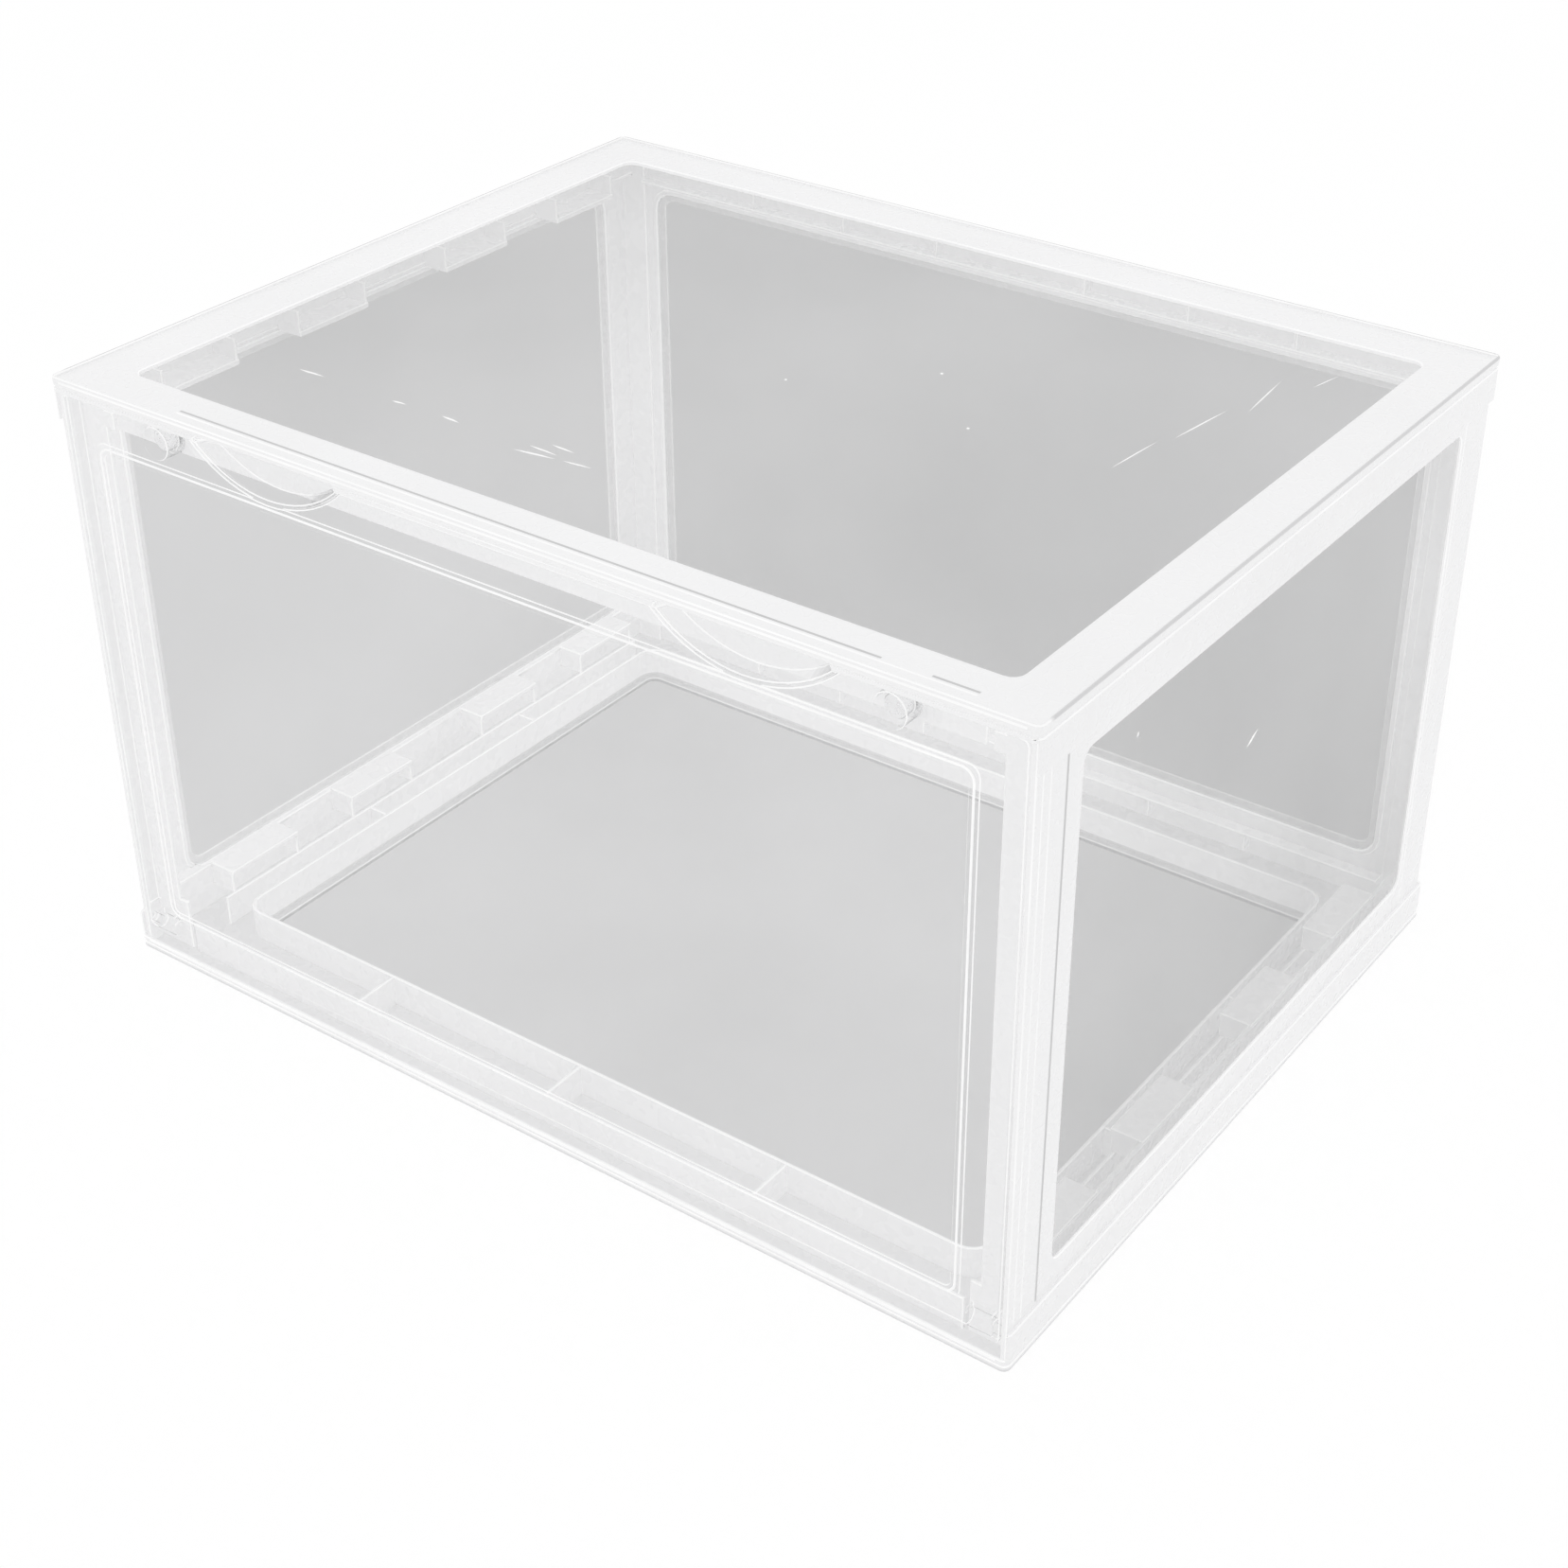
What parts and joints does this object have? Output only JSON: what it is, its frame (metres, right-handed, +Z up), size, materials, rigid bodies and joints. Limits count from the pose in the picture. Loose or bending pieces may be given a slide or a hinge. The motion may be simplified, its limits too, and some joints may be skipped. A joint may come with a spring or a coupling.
{
  "type": "shoe storage box",
  "caption": "Clear stackable storage box with milky plastic frames, clear window sheets and a drop-front door that magnets hold shut.",
  "frame": {"origin": "middle of the box's outline, on the surface that the box stands on", "axes": "+X to the right seen from the front, along the box's width; the door is on the -Y side; +Z up"},
  "size_m": [0.36, 0.281, 0.2185],
  "materials": {
    "frame_plastic": "milky translucent moulded plastic, satin",
    "clear_plastic": "clear glossy plastic sheet with fine scratches",
    "door_plastic": "clear glossy moulded plastic",
    "bright_steel": "plated, bright"
  },
  "bodies": {
    "box": {"bottom_frame": "frame_plastic", "floor_window": "clear_plastic", "top_frame": "frame_plastic", "top_window": "clear_plastic", "top_lip": "frame_plastic", "left_side_frame": "frame_plastic", "left_side_window": "clear_plastic", "right_side_frame": "frame_plastic", "right_side_window": "clear_plastic", "back_frame": "frame_plastic", "back_window": "clear_plastic", "keeper_left": "bright_steel", "keeper_right": "bright_steel"},
    "door": {"front_door": "door_plastic", "finger_cup_left": "door_plastic", "finger_cup_right": "door_plastic", "door_magnet_left": "bright_steel", "door_magnet_right": "bright_steel"}
  },
  "joints": [
    {"name": "door_hinge", "type": "hinge", "parent": "box", "child": "door", "pos_m": [0, -0.136, 0.012], "axis": [1, 0, 0], "range_deg": [0, 90]}
  ]
}
